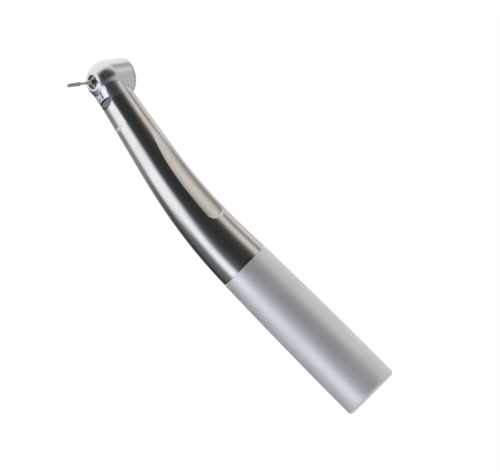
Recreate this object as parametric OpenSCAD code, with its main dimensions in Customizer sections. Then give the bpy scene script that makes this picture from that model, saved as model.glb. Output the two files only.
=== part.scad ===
// High-speed dental handpiece: air turbine head, bent neck, rear sleeve with a coupling socket.
// Millimetres. The origin is the centre of the rear mouth, +Z runs up the rear body, +X is the
// bur's side. Path distance runs from the mouth along the middle of the body and the bent neck.

/* [Rear body] */
// outside diameter at the rear mouth
mouth_d = 17.3; // [15:0.1:19]
// outside diameter where the rear sleeve meets the neck
joint_d = 16.0; // [13:0.1:18]
// length of the rear sleeve
sleeve_len = 51.5; // [40:0.5:60]
// rounding of the rear edge
rear_round = 1.0; // [0.2:0.1:1.5]
// bore that takes the coupling's collar
entry_d = 12.6; // [11:0.1:13.4]
// bore that takes the coupling's plug
plug_d = 9.8; // [8:0.1:10.5]

/* [Neck] */
// path distance at which the neck starts to bend
bend_start = 56; // [50:1:70]
// path distance at which the bend ends
bend_end = 90; // [80:1:100]
// bend of the neck away from the bur, in degrees
bend = 15.5; // [5:0.5:25]
// path distance from the mouth to the head's axis
reach = 119; // [105:0.5:130]
// depth of the side grip flats
grip_depth = 0.6; // [0:0.05:0.9]
// facets round the neck sleeve
around = 48; // [24:4:64]

/* [Head] */
// angle of the bur axis above the +X axis, in degrees
head_tilt = 28; // [0:0.5:40]
// outside diameter of the head drum
head_d = 11.5; // [10.6:0.1:12]
// distance from the neck axis to the front face
face_h = 4.5; // [3.8:0.1:6]
// distance from the neck axis to the back rim
back_h = 7.2; // [7.1:0.05:8]
// diameter of the front opening round the chuck
front_hole_d = 4.06; // [3.4:0.02:4.6]
// distance from the head's axis to the collar's lower edge
collar_edge = 6.9; // [6:0.1:8]

/* [Turbine] */
// outside diameter of the ball bearings
bearing_od = 6.35; // [5:0.05:6.5]
// bore of the ball bearings
bearing_id = 3.2; // [2.5:0.05:3.5]
// width of the ball bearings
bearing_w = 2.4; // [1.8:0.1:2.8]
// half the distance between the two bearing centres
bearing_half = 3.1; // [2.9:0.05:3.2]
// where the turbine's middle sits along the head axis
mid_h = -0.55; // [-0.7:0.05:-0.4]
// balls in a bearing
balls = 7; // [6:1:8]
// ball diameter
ball_d = 1.0; // [0.8:0.05:1.1]
// turbine wheel diameter
wheel_d = 7.96; // [6:0.02:8.1]
// turbine blades
blades = 12; // [8:1:16]

/* [Bur] */
// shank diameter of a friction grip bur
shank_d = 1.6; // [1.59:0.005:1.6]
// how far the bur stands out of the front face
bur_out = 9.25; // [6:0.05:12]
// diameter of the diamond part
diamond_d = 1.24; // [0.8:0.02:2]

/* [Hidden] */
$fn = 96;
gap = 0.02;

// the neck's path: radius of the bend, its end, then the point where it meets the head's axis
bend_r = (bend_end - bend_start) / (bend * PI / 180);
bend_end_x = -bend_r * (1 - cos(bend));
bend_end_z = bend_start + bend_r * sin(bend);
straight_len = reach - bend_end;
head_x = bend_end_x - sin(bend) * straight_len;
head_z = bend_end_z + cos(bend) * straight_len;
// angle between the collar's edge and a square cut across the neck
slant = head_tilt - bend;

// heights along the head axis, positive towards the bur's tip
head_r = head_d / 2;
front_bearing_h = mid_h + bearing_half;
rear_bearing_h = mid_h - bearing_half;
half_race_w = bearing_w / 2;
tip_h = face_h + bur_out;

// tube centres across the neck: x towards the bur, y sideways
drive_at = [-1.0, 1.75];
exhaust_at = [-1.15, -1.55];
light_at = [2.35, 0];
water_at = [0.9, 2.75];
chip_at = [1.0, -2.6];
// outside radii of the tubes
drive_r = 1.25;
exhaust_r = 1.6;
light_r = 1.0;
small_tube_r = 0.6;
// growth in radius of the tubes' front part, past the bend
swage = 0.04;

// colours that several pieces share
oring_color = [0.12, 0.12, 0.12];
clip_color = [0.3, 0.3, 0.3];
tube_color = [0.75, 0.76, 0.77];
spring_color = [0.6, 0.6, 0.6];
head_color = [0.82, 0.83, 0.84];
chuck_color = [0.7, 0.71, 0.72];
race_color = [0.7, 0.7, 0.72];
cage_color = [0.55, 0.4, 0.25];
ball_color = [0.9, 0.9, 0.9];
shield_color = [0.5, 0.5, 0.52];

// ---- frames and shared shapes ----
// head frame: z along the bur axis to the tip, x towards the neck
module in_head() translate([head_x, 0, head_z]) rotate([0, 90 - head_tilt, 0]) children();
// neck frame: starts the given distance behind the head's axis, z towards the head, x to the bur
module in_neck(behind = 0)
    translate([head_x + sin(bend) * behind, 0, head_z - cos(bend) * behind])
        rotate([0, -bend, 0]) children();

function polar(radius, angle) = [radius * cos(angle), radius * sin(angle)];
// points of a rounded corner about [x, y]
function corner(x, y, radius, from, to, steps) =
    [for (i = [0:steps]) [x, y] + polar(radius, from + (to - from) * i / steps)];
// two triangles between the edges a-b and c-d
function split(a, b, c, d) = [[a, b, c], [b, d, c]];

// a turned solid from [radius, height] points
module turned(outline) rotate_extrude() polygon(outline);
module ring(inner_r, outer_r, from, to)
    rotate_extrude() translate([inner_r, from]) square([outer_r - inner_r, to - from]);
module rod(at, radius, from, to)
    translate([at[0], at[1], from]) cylinder(r = radius, h = to - from);
module disc(radius, from, to) rod([0, 0], radius, from, to);
module round_ring(ring_r, wire_r, height)
    rotate_extrude() translate([ring_r, height]) circle(r = wire_r);

// a wire coil that fills the height between from and to
module coil(coil_r, wire_r, turns, from, to, per_turn = 14) {
    sides = 8;
    steps = round(turns * per_turn);
    points = [for (i = [0:steps])
        let(turn = 360 * turns * i / steps, z = from + wire_r + (to - from - 2 * wire_r) * i / steps)
            for (j = [0:sides - 1])
                let(section = polar(wire_r, 360 / sides * j), flat = polar(coil_r + section[0], turn))
                    [flat[0], flat[1], z + section[1]]];
    function index(i, j) = i * sides + j % sides;
    polyhedron(points = points, faces = concat(
        [for (i = [0:steps - 1]) for (j = [0:sides - 1])
            for (face = split(index(i, j), index(i, j + 1), index(i + 1, j), index(i + 1, j + 1)))
                face],
        [[for (j = [sides - 1:-1:0]) j]],
        [[for (j = [0:sides - 1]) steps * sides + j]]));
}

// ---- rear body ----
sleeve_bore_r = 7.3;
sleeve_lip_r = 6.95;
sleeve_lip_h = 2.1;
sleeve_flare = 2.2; // power of the sleeve's side curve
insert_r = 7.25; // outside radius of the parts inside the sleeve
lock_ring_z = 22;
lock_groove_half = 0.3;
adapter_oring_z = 48;
adapter_groove_half = 0.25;
adapter_bore_r = 6.1;
ferrule_r = 1.48;
ferrule_hole_r = 1.46; // before the holes' swage and gap

module tube_holes(from, to, light_hole_r = light_r) {
    for (tube = [[drive_at, drive_r], [exhaust_at, exhaust_r], [light_at, light_hole_r],
            [water_at, small_tube_r], [chip_at, small_tube_r]])
        rod(tube[0], tube[1] + swage + gap, from, to);
}

module rear_sleeve() color([0.78, 0.8, 0.82]) turned(concat(
    [[sleeve_lip_r, 0]],
    corner(mouth_d / 2 - rear_round, rear_round, rear_round, -90, 0, 8),
    [for (i = [2:9]) [
        joint_d / 2 + (mouth_d - joint_d) / 2 * (1 - pow(i / 10, sleeve_flare)),
        rear_round + (sleeve_len - rear_round) * i / 10]],
    [[joint_d / 2, sleeve_len], [sleeve_bore_r, sleeve_len], [sleeve_bore_r, sleeve_lip_h],
        [sleeve_lip_r, sleeve_lip_h]]));

module coupling_socket() color(chuck_color) difference() {
    turned([[entry_d / 2, 0], [6.9, 0], [6.9, 2.15], [insert_r, 2.15], [insert_r, 40],
        [5.5, 40], [5.5, 38], [0, 38], [0, 34], [4.0, 34], [4.0, 24],
        [plug_d / 2, 24], [plug_d / 2, 12], [entry_d / 2, 12]]);
    tube_holes(33, 39, ferrule_hole_r);
    ring(plug_d / 2 - 0.1, 5.5, lock_ring_z - lock_groove_half, lock_ring_z + lock_groove_half);
}

// an open ring in the socket's groove
module socket_lock_ring() color([0.6, 0.6, 0.58])
    translate([0, 0, lock_ring_z]) rotate([0, 0, 20])
        rotate_extrude(angle = 320) translate([5.2, 0]) circle(r = 0.25);

module socket_gasket() color([0.15, 0.15, 0.15]) difference() {
    disc(3.95, 33.1, 33.9);
    tube_holes(33, 34, ferrule_hole_r);
}

// a ring with four blind holes in its front face
module retaining_nut() color([0.72, 0.66, 0.45]) difference() {
    ring(4.6, insert_r, 40.1, 44);
    for (a = [0:90:270]) rotate([0, 0, a]) translate([5.9, 0, 42.4]) cylinder(r = 0.55, h = 2);
}

module sleeve_adapter() color([0.72, 0.73, 0.74]) {
    groove_r = 6.86;
    groove_from = adapter_oring_z - adapter_groove_half;
    groove_to = adapter_oring_z + adapter_groove_half;
    turned([[adapter_bore_r, 44.1], [insert_r, 44.1], [insert_r, groove_from],
        [groove_r, groove_from], [groove_r, groove_to], [insert_r, groove_to],
        [insert_r, 51.65], [7.1, 51.65], [7.1, 57], [adapter_bore_r, 57]]);
}

module adapter_oring() color(oring_color) round_ring(7.08, 0.2, adapter_oring_z);

// ---- neck ----
// outside radius of the neck: [path distance, radius]
neck_radii = [[51, 7.97], [54, 7.91], [58, 7.73], [64, 7.45], [70, 7.13], [75.5, 6.82],
    [81, 6.49], [87, 6.16], [93, 5.89], [99, 5.6], [104, 5.37], [108, 5.19], [113, 5.0],
    [130, 4.9]];
// widest bore, thicker-walled at the front to hold the head: [path distance, radius]
bore_radii = [[51, 8], [99, 5.1], [104, 3.95], [108, 3.83], [130, 3.8]];
// grip flats: [path distance, share of grip_depth]
grip_shares = [[51, 0], [68.2, 0], [69.4, 0.55], [70.6, 1], [88, 1], [97, 0.62], [106, 0.2],
    [109, 0], [130, 0]];
// path distances of the sleeve's square sections
neck_stations = [51.6, 54, 57, 60, 63, 66, 68.2, 68.8, 69.4, 70, 70.6, 73, 76, 79, 82, 85, 88,
    91, 94, 97, 100.5, 104];
// slanted sections, as shares of the way from the last square one to the front edge
front_shares = [0.34, 0.67, 1];
neck_wall = 0.5; // least wall thickness
edge_gap = 0.05; // between the sleeve's front edge and the collar
tube_end = 7.6; // distance of the tubes' front ends behind the head's axis
clip_h = 1.5;
window_x = 3.0; // inner face of the light window

function flat_y(s) = lookup(s, neck_radii) - grip_depth * lookup(s, grip_shares);
function outer_r(s, angle) = min(lookup(s, neck_radii), flat_y(s) / max(abs(sin(angle)), 0.01));
function bore_r(s) = min(flat_y(s) - neck_wall, lookup(s, bore_radii));

// the place of a point [x, y] of the section at path distance s
function spot(s, x, y) =
    s <= bend_start ? [x, y, s] :
    s <= bend_end ?
        let(a = (s - bend_start) / bend_r * 180 / PI)
            [-bend_r + (bend_r + x) * cos(a), y, bend_start + (bend_r + x) * sin(a)] :
    let(past = s - bend_end)
        [bend_end_x - sin(bend) * past + x * cos(bend), y,
            bend_end_z + cos(bend) * past + x * sin(bend)];

// path distance of the front edge, which is parallel to the head's axis
function edge_distance(angle, radius) =
    reach - (collar_edge + edge_gap - sin(slant) * radius * cos(angle)) / cos(slant);

// path distance of section i at an angle and radius
function station(i, angle, radius) =
    let(squares = len(neck_stations), last = neck_stations[squares - 1])
        i < squares ? neck_stations[i] :
            last + (edge_distance(angle, radius) - last) * front_shares[i - squares];

sections = len(neck_stations) + len(front_shares);

// Points of the outer or bore surface. A slanted section's distance depends on its radius,
// so the radius is first taken at a typical one.
function neck_points(is_bore) = [for (i = [0:sections - 1]) for (j = [0:around - 1])
    let(a = 360 / around * j,
        first = station(i, a, is_bore ? 3.8 : 4.9),
        radius = is_bore ? bore_r(first) : outer_r(first, a))
            spot(station(i, a, radius), radius * cos(a), radius * sin(a))];

module neck_shell() {
    top = sections - 1;
    function outer(i, j) = i * around + j % around;
    function bore(i, j) = sections * around + outer(i, j);
    polyhedron(points = concat(neck_points(false), neck_points(true)), faces = concat(
        [for (i = [0:top - 1]) for (j = [0:around - 1])
            for (face = concat(
                split(outer(i, j), outer(i + 1, j), outer(i, j + 1), outer(i + 1, j + 1)),
                split(bore(i, j), bore(i, j + 1), bore(i + 1, j), bore(i + 1, j + 1))))
                    face],
        [for (j = [0:around - 1])
            for (face = concat(
                split(outer(0, j), outer(0, j + 1), bore(0, j), bore(0, j + 1)),
                split(outer(top, j), bore(top, j), outer(top, j + 1), bore(top, j + 1))))
                    face]));
}

// the window's lens shape, where two round bars along x overlap
module lens(from_x, to_x, shrink = 0) in_neck() intersection() {
    translate([from_x, 0, -4.2]) rotate([0, 90, 0]) cylinder(r = 3.9 - shrink, h = to_x - from_x);
    translate([from_x, 0, -10.7]) rotate([0, 90, 0]) cylinder(r = 5.5 - shrink, h = to_x - from_x);
}

// a round bar along the neck's path, from a height in the rear body to a distance behind the
// head's axis; its front part changes radius by grow and starts lap before the end of the bend
module bent_rod(at, radius, from, behind, grow = swage, lap = 0.5) {
    rod(at, radius, from, bend_start);
    translate([-bend_r, 0, bend_start]) rotate([90, 0, 0]) rotate_extrude(angle = bend)
        translate([bend_r + at[0], -at[1]]) circle(r = radius);
    in_neck(straight_len + lap) rod(at, radius + grow, 0, straight_len + lap - behind);
}

module pipe(at, radius, hole_r, from = 34.2) color(tube_color) difference() {
    bent_rod(at, radius, from, tube_end);
    bent_rod(at, hole_r, from - 0.01, tube_end - 0.01, grow = -0.05, lap = 0.3);
}

module tube_clip(radius) color(clip_color) difference() {
    disc(radius, 0, clip_h);
    tube_holes(-1, 2);
}

module neck_sleeve() color([0.36, 0.35, 0.34]) difference() {
    neck_shell();
    lens(2, 8);
}

module front_tube_clip() color(clip_color) in_neck(15) tube_clip(3.62);
module mid_tube_clip() color(clip_color) translate([0, 0, 53.5]) tube_clip(6.05);
module drive_air_tube() color(tube_color) pipe(drive_at, drive_r, 0.95);
module exhaust_tube() color(tube_color) pipe(exhaust_at, exhaust_r, 1.3);
module water_tube() color(tube_color) pipe(water_at, small_tube_r, 0.35, from = 44.1);
module chip_air_tube() color(tube_color) pipe(chip_at, small_tube_r, 0.35);
module light_guide() color([0.9, 0.93, 0.96]) bent_rod(light_at, light_r, 33.2, 8.4);
module light_guide_ferrule() color([0.8, 0.8, 0.78])
    translate([light_at[0], light_at[1], 0]) ring(light_r + gap, ferrule_r, 33.4, 38.6);
module light_window() color([0.55, 0.62, 0.7]) lens(window_x, 3.72, 0.04);

// ---- check valve, behind the water tube ----
module at_water() translate([water_at[0], water_at[1], 0]) children();

module check_valve_body() color([0.8, 0.8, 0.8]) at_water() difference() {
    disc(0.85, 38.1, 44.05);
    disc(0.3, 38, 45);
    disc(0.53, 39, 43.4);
}
module check_valve_ball() color([0.9, 0.9, 0.92])
    at_water() translate([0, 0, 39.37]) sphere(r = 0.45);
module check_valve_spring() color(spring_color) at_water() coil(0.38, 0.07, 5, 39.86, 43.36);

// ---- head shell ----
cap_seam_h = -6.55; // back end of the housing
cap_r = 4.13; // part of the cap inside the housing
chamber_half = 1.75; // half height of the wheel's chamber
seat_groove_r = 3.75; // grooves for the bearings' O-rings
seat_groove_half = 0.28;
cap_oring_h = -6.12;
cap_groove_half = 0.18;
dome_h = -0.5; // where the drum starts to round off
dome_face_r = 2.6;
dome_power = 1.6;
pocket_from = 11; // start of the tube pockets, behind the head's axis
pocket_len = 3.45;

// radius of the dome at a share of its rise
function dome_r(rise) = dome_face_r
    + (head_r - dome_face_r) * pow(1 - pow(rise, dome_power), 1 / dome_power);

// drum, collar that continues the neck's outline, and spigot inside the neck sleeve
module head_body() {
    in_head() turned(concat(
        [[0, cap_seam_h], [head_r, cap_seam_h]],
        [for (i = [0:18]) let(rise = sin(5 * i)) [dome_r(rise), dome_h + (face_h - dome_h) * rise]],
        [[0, face_h]]));
    intersection() {
        in_neck(collar_edge + 3) linear_extrude(height = collar_edge + 3)
            polygon([for (j = [0:71]) polar(outer_r(reach - 6, 5 * j), 5 * j)]);
        in_head() translate([-10, -10, -10]) cube([10 + collar_edge, 20, 14]);
    }
    in_neck(10.6) cylinder(r = 3.72, h = 6);
}

module head_housing() color(head_color) difference() {
    head_body();
    in_head() {
        disc(cap_r + gap, -7, mid_h + chamber_half);
        disc(bearing_od / 2 + 0.125, -3, front_bearing_h + half_race_w + 0.05);
        ring(3, seat_groove_r, front_bearing_h - seat_groove_half,
            front_bearing_h + seat_groove_half);
        disc(front_hole_d / 2, 0, face_h + 1);
        // three holes in the front face that lean in to the bur
        for (a = [60, 180, 300]) rotate([0, 0, a])
            translate([3.05, 0, face_h - 0.6]) rotate([0, -14, 0]) cylinder(r = 0.17, h = 2);
    }
    // tube pockets, and the two narrower passages on to the wheel's chamber
    in_neck(pocket_from) {
        for (tube = [[drive_at, drive_r], [exhaust_at, exhaust_r], [water_at, small_tube_r],
                [chip_at, small_tube_r]])
            rod(tube[0], tube[1] + swage + gap, 0, pocket_len);
        rod(light_at, light_r + swage + gap, 0, 2.7);
        rod([-0.7, 2.2], 0.6, 0, 8.2);
        rod(exhaust_at, 1.2, 0, 8);
    }
    lens(window_x - 0.05, 8);
    // a small round-ended slot in the collar's bur side
    in_neck(5.05) translate([4.4, 0, 0]) {
        for (z = [0.75, -0.55]) translate([0, 0, z]) rotate([0, 90, 0]) cylinder(r = 0.17, h = 2);
        translate([0, -0.17, -0.55]) cube([2, 0.34, 1.3]);
    }
}

module head_cap() color(head_color) {
    bore = 3.3;
    mouth_r = 3.55;
    rim_round = 0.5;
    in_head() turned(concat(
        [[bore, mid_h - chamber_half], [cap_r, mid_h - chamber_half],
            [cap_r, cap_oring_h + cap_groove_half], [3.9, cap_oring_h + cap_groove_half],
            [3.9, cap_oring_h - cap_groove_half], [cap_r, cap_oring_h - cap_groove_half],
            [cap_r, cap_seam_h - gap], [head_r - 0.03, cap_seam_h - gap]],
        corner(head_r - 0.03 - rim_round, -back_h + rim_round, rim_round, 0, -90, 6),
        [[mouth_r, -back_h], [mouth_r, -6.97], [3.8, -6.97], [3.8, -6.78], [mouth_r, -6.78],
            [mouth_r, -5.62], [0.85, -5.62], [0.85, -5.17], [bore, -5.17],
            [bore, rear_bearing_h - seat_groove_half],
            [seat_groove_r, rear_bearing_h - seat_groove_half],
            [seat_groove_r, rear_bearing_h + seat_groove_half],
            [bore, rear_bearing_h + seat_groove_half]]));
}

module cap_oring() color(oring_color) in_head() round_ring(4.03, 0.11, cap_oring_h);
module button_retaining_ring() color(spring_color) in_head() rotate([0, 0, 10])
    rotate_extrude(angle = 340) translate([3.18, -6.95]) square([0.58, 0.15]);
module button_spring() color(spring_color)
    in_head() coil(2.4, 0.11, 2.5, -6.42, -5.64, per_turn = 24);

module push_button() color([0.8, 0.81, 0.82]) {
    button_r = 3.1;
    crown_h = -7.12;
    in_head() turned(concat(
        [[0, -5.12], [0.65, -5.12], [0.65, -6.45], [3.45, -6.45], [3.45, -6.74],
            [button_r, -6.74], [button_r, crown_h]],
        [for (i = [1:8]) [button_r * cos(11.25 * i), crown_h - 0.33 * sin(11.25 * i)]]));
}

// ---- bearings: h is a bearing's middle, side is 1 or -1 for its shield's side ----
ball_path_r = 2.375;
outer_race_r = 2.7; // inside radius of the outer race
inner_race_r = 2.05; // outside radius of the inner race
shield_r = 2.8;
shield_h = 1.0; // from the bearing's middle to the shield's
shield_half = 0.05;

module ball_groove(h) translate([ball_path_r, h]) circle(r = ball_d / 2 + gap);
module outer_race(h, side) in_head() rotate_extrude() difference() {
    translate([outer_race_r, h - half_race_w]) square([bearing_od / 2 - outer_race_r, bearing_w]);
    ball_groove(h);
    translate([2.6, h + side * shield_h - shield_half - gap])
        square([shield_r + gap - 2.6, 2 * (shield_half + gap)]);
}
module inner_race(h) in_head() rotate_extrude() difference() {
    translate([bearing_id / 2, h - half_race_w]) square([inner_race_r - bearing_id / 2, bearing_w]);
    ball_groove(h);
}
module each_ball() for (i = [0:balls - 1]) rotate([0, 0, 360 / balls * i]) children();
module cage(h) in_head() difference() {
    ring(2.2, 2.56, h - 0.74, h + 0.74);
    each_ball() translate([1.8, 0, h]) rotate([0, 90, 0]) cylinder(r = ball_d / 2 + 0.03, h = 1.2);
}
module ball_set(h) in_head() each_ball() translate([ball_path_r, 0, h]) sphere(r = ball_d / 2);
module shield(h, side) in_head()
    ring(2.09, shield_r, h + side * shield_h - shield_half, h + side * shield_h + shield_half);
module bearing_oring(h) in_head() round_ring(3.463, 0.27, h);

module front_bearing_outer_race() color(race_color) outer_race(front_bearing_h, 1);
module rear_bearing_outer_race() color(race_color) outer_race(rear_bearing_h, -1);
module front_bearing_inner_race() color(race_color) inner_race(front_bearing_h);
module rear_bearing_inner_race() color(race_color) inner_race(rear_bearing_h);
module front_bearing_cage() color(cage_color) cage(front_bearing_h);
module rear_bearing_cage() color(cage_color) cage(rear_bearing_h);
module front_bearing_balls() color(ball_color) ball_set(front_bearing_h);
module rear_bearing_balls() color(ball_color) ball_set(rear_bearing_h);
module front_bearing_shield() color(shield_color) shield(front_bearing_h, 1);
module rear_bearing_shield() color(shield_color) shield(rear_bearing_h, -1);
module front_bearing_oring() color(oring_color) bearing_oring(front_bearing_h);
module rear_bearing_oring() color(oring_color) bearing_oring(rear_bearing_h);
module preload_washer() color(spring_color) in_head() ring(2.75, 3.15, -5.13, -4.88);

// ---- rotor ----
spindle_bore_r = 1.22;
chuck_r = spindle_bore_r - gap;
spindle_r = 1.9; // between the bearings
blade_root_r = 2.6;

module spindle() color([0.75, 0.76, 0.78]) {
    journal_r = bearing_id / 2 - 0.012;
    rear_step = rear_bearing_h + half_race_w + gap;
    front_step = front_bearing_h - half_race_w - gap;
    nose_h = front_bearing_h + half_race_w + 0.05;
    in_head() turned([[spindle_bore_r, -5.05], [journal_r, -5.05], [journal_r, rear_step],
        [spindle_r, rear_step], [spindle_r, front_step], [journal_r, front_step],
        [journal_r, nose_h], [1.38, nose_h], [1.38, face_h - 0.2],
        [spindle_bore_r, face_h - 0.2]]);
}

// a curved blade from root to rim, as outline points k = 0 to 4
function blade_point(k, turn) =
    polar(blade_root_r + (wheel_d / 2 - blade_root_r) * k / 4, 5 * sin(45 * k) + turn);

module turbine_wheel() color([0.66, 0.6, 0.42]) in_head() {
    ring(spindle_r + gap, 2.75, mid_h - 1.5, mid_h + 1.5);
    difference() {
        for (i = [0:blades - 1]) rotate([0, 0, 360 / blades * i])
            translate([0, 0, mid_h - 1.35]) linear_extrude(height = 2.7) polygon(concat(
                [for (k = [0:4]) blade_point(k, 0)],
                [for (k = [4:-1:0]) blade_point(k, 9 - 1.2 * k)]));
        disc(2.3, mid_h - 2, mid_h + 2);
    }
    ring(2.7, 3.4, mid_h - 0.15, mid_h + 0.15);
}

// a sleeve round the shank, slit in three from the front
module chuck_collet() color(chuck_color) in_head() difference() {
    ring(shank_d / 2 + gap, chuck_r, -3.6, face_h - 0.25);
    for (a = [0, 120, 240]) rotate([0, 0, a]) translate([0, -0.12, 1]) cube([3, 0.24, 5]);
}
module spindle_end_ring() color([0.6, 0.6, 0.62]) in_head() ring(0.85, chuck_r, -5.04, -4.86);
module chuck_plunger() color([0.65, 0.66, 0.68]) in_head() disc(1.15, -4.82, -4.16);

// ---- bur ----
module bur_shank() color([0.75, 0.75, 0.76]) in_head() turned([[0, -3.65], [0.65, -3.65],
    [shank_d / 2, -3.5], [shank_d / 2, 5.2], [0.42, 6.8], [0.33, 8.2],
    [0.33, tip_h - 4.5], [0, tip_h - 4.5]]);

module bur_diamond() color([0.62, 0.6, 0.52]) in_head() rotate_extrude() difference() {
    union() {
        polygon([[0, tip_h - 4.48], [0.45, tip_h - 4.48], [diamond_d / 2, tip_h - 4.3],
            [diamond_d / 2 - 0.12, tip_h - 0.5], [0, tip_h - 0.5]]);
        translate([0, tip_h - 0.5]) circle(r = 0.5);
    }
    // keep only the half to the right of the axis
    translate([-2, tip_h - 4]) square([2, 6]);
}

rear_sleeve();
coupling_socket();
socket_lock_ring();
socket_gasket();
retaining_nut();
sleeve_adapter();
adapter_oring();
neck_sleeve();
front_tube_clip();
mid_tube_clip();
drive_air_tube();
exhaust_tube();
water_tube();
chip_air_tube();
light_guide();
light_guide_ferrule();
light_window();
check_valve_body();
check_valve_ball();
check_valve_spring();
head_housing();
head_cap();
cap_oring();
front_bearing_outer_race();
rear_bearing_outer_race();
front_bearing_oring();
rear_bearing_oring();
front_bearing_shield();
rear_bearing_shield();
preload_washer();
button_retaining_ring();
button_spring();
push_button();
spindle();
turbine_wheel();
front_bearing_inner_race();
rear_bearing_inner_race();
chuck_collet();
spindle_end_ring();
front_bearing_cage();
front_bearing_balls();
rear_bearing_cage();
rear_bearing_balls();
chuck_plunger();
bur_shank();
bur_diamond();
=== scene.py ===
import math

import bmesh
import bpy
import numpy as np
from mathutils import Matrix, Vector
from mathutils.kdtree import KDTree


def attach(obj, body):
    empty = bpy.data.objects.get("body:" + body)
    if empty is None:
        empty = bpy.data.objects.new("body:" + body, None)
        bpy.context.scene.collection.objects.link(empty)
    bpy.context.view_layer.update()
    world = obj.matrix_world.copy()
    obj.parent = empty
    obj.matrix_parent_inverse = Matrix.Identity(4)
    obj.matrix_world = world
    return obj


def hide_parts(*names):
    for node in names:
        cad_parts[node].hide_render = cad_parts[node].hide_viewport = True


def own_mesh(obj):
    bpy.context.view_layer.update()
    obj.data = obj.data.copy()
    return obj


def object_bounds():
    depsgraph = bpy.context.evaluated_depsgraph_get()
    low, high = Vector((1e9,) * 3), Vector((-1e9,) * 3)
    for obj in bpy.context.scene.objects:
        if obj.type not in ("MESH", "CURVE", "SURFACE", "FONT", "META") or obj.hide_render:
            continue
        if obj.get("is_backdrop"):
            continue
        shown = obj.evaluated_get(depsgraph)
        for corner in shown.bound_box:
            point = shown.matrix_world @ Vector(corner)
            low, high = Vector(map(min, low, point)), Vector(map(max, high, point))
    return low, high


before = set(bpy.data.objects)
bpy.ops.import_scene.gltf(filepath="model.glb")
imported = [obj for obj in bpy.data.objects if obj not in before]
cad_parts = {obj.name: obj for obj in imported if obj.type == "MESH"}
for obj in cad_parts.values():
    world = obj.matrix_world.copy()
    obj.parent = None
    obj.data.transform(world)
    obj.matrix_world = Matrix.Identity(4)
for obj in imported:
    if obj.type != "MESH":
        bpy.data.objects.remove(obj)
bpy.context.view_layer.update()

MM = 0.001
rng = np.random.default_rng(7)

# ------------------------------------------------------------------ the part's own measures, in millimetres
BEND_START, BEND_END, BEND, REACH = 56.0, 90.0, math.radians(15.5), 119.0
TILT = math.radians(28.0)
RB = (BEND_END - BEND_START) / BEND
BX = -RB * (1 - math.cos(BEND))
BZ = BEND_START + RB * math.sin(BEND)
HX = BX - math.sin(BEND) * (REACH - BEND_END)
HZ = BZ + math.cos(BEND) * (REACH - BEND_END)
SLANT = TILT - BEND
HR, FACE, BACK, EDGE = 5.75, 4.5, 7.2, 6.9
H = np.array([HX, 0.0, HZ])
B = np.array([math.cos(TILT), 0.0, math.sin(TILT)])          # bur axis
BP = np.array([math.sin(TILT), 0.0, -math.cos(TILT)])        # across it, towards the handle
N = np.array([-math.sin(BEND), 0.0, math.cos(BEND)])         # neck axis at the head
XN = np.array([math.cos(BEND), 0.0, math.sin(BEND)])         # across it, towards the bur's side
Y = np.array([0.0, 1.0, 0.0])

W_OF = np.array([[51, 7.97], [54, 7.91], [58, 7.73], [64, 7.45], [70, 7.13], [75.5, 6.82], [81, 6.49], [87, 6.16], [93, 5.89], [99, 5.6], [104, 5.37], [108, 5.19], [113, 5.0], [130, 4.9]])
E_OF = np.array([[51, 1.0], [130, 1.0]])


def smooth_table(t):
    """A table made smooth by sampling it and averaging over 4 mm."""
    s = np.arange(40, 140, 0.25)
    v = np.interp(s, t[:, 0], t[:, 1])
    k = np.hanning(27)
    k /= k.sum()
    pad = len(k) // 2
    vv = np.convolve(np.pad(v, pad, mode="edge"), k, mode="valid")
    return s, vv


W_S, W_V = smooth_table(W_OF)
E_S, E_V = smooth_table(E_OF)


def wide(s):
    e = np.interp(s, E_S, E_V)
    return np.interp(s, W_S, W_V) / np.sqrt(math.cos(math.radians(43)) ** 2 + (e * math.sin(math.radians(43))) ** 2)


def side(s):
    return wide(s) * np.interp(s, E_S, E_V)


def ell(s, a):
    w, d = wide(s), side(s)
    return w * d / np.sqrt((d * np.cos(a)) ** 2 + (w * np.sin(a)) ** 2)


def spot(s, x, y):
    """Points at path distance s, offset x towards the bur's side and y sideways (arrays)."""
    s, x, y = np.broadcast_arrays(np.asarray(s, float), x, y)
    a = np.clip((s - BEND_START) / RB, 0, BEND)
    px = -RB + (RB + x) * np.cos(a)
    pz = BEND_START + (RB + x) * np.sin(a)
    before = np.minimum(s - BEND_START, 0)
    after = np.maximum(s - BEND_END, 0)
    return np.stack([px - np.sin(a) * after, y, pz + before + np.cos(a) * after], -1)


def head(x, y, z):
    """Point in the head's frame (z along the bur axis, x towards the handle) to the row frame."""
    return H + x * BP + y * Y + z * B


def smin(a, b, k):
    h = np.clip(0.5 + 0.5 * (b - a) / k, 0, 1)
    return b + (a - b) * h - k * h * (1 - h)


# ------------------------------------------------------------------ mesh helpers
def mesh_object(name, verts, faces, material=None, smooth=True):
    me = bpy.data.meshes.new(name)
    me.from_pydata([tuple(v) for v in np.asarray(verts, float) * MM], [], [tuple(int(i) for i in f) for f in faces])
    me.validate()
    me.update()
    if smooth:
        me.polygons.foreach_set("use_smooth", [True] * len(me.polygons))
    o = bpy.data.objects.new(name, me)
    bpy.context.scene.collection.objects.link(o)
    if material:
        me.materials.append(material)
    return o


def sharp(o, degrees=30):
    o.data.polygons.foreach_set("use_smooth", [True] * len(o.data.polygons))
    o.data.set_sharp_from_angle(angle=math.radians(degrees))


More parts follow.
